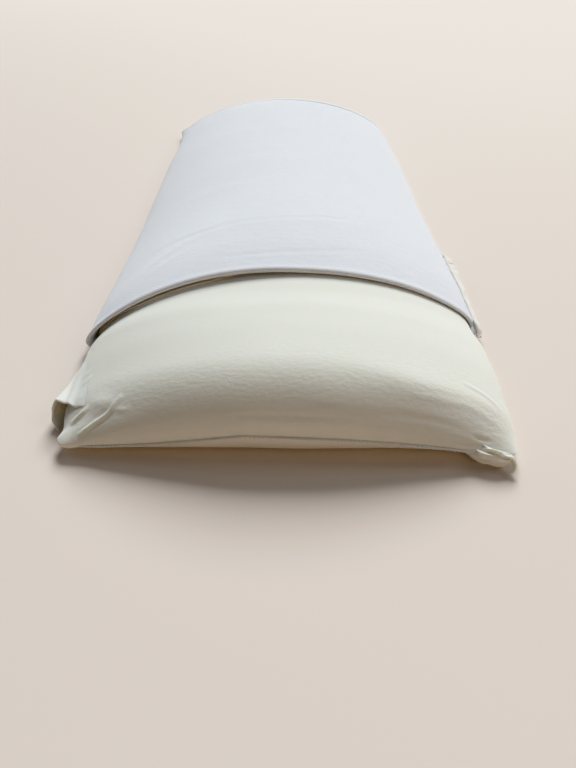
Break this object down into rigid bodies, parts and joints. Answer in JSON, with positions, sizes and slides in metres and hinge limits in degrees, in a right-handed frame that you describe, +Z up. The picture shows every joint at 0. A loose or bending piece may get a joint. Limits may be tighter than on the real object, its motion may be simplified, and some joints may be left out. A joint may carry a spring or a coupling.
{
  "type": "neck roll pillow",
  "caption": "Low half-moon neck roll pillow, flat below and arched on top: a filled cushion in a thin jersey liner, partly drawn out of its knitted outer cover with a deep turned hem.",
  "frame": {"origin": "under the middle of the whole pillow's box, on the surface it lies on", "axes": "+Y runs along the pillow from its uncovered near end towards the cover's closed far end, +X to its right seen from the near end, +Z up from its flat back to its crown"},
  "size_m": [0.2722, 0.536, 0.0479],
  "materials": {
    "liner_jersey": "matt cream stretch jersey",
    "cover_knit": "soft matt bluish-white knit",
    "woven_tape": "plain white woven tape"
  },
  "bodies": {
    "root": {"filled_cushion": "liner_jersey", "liner_ear_left": "liner_jersey", "liner_tail_right": "liner_jersey", "outer_cover": "cover_knit", "hem_facing": "cover_knit", "side_tape": "woven_tape"}
  },
  "joints": []
}
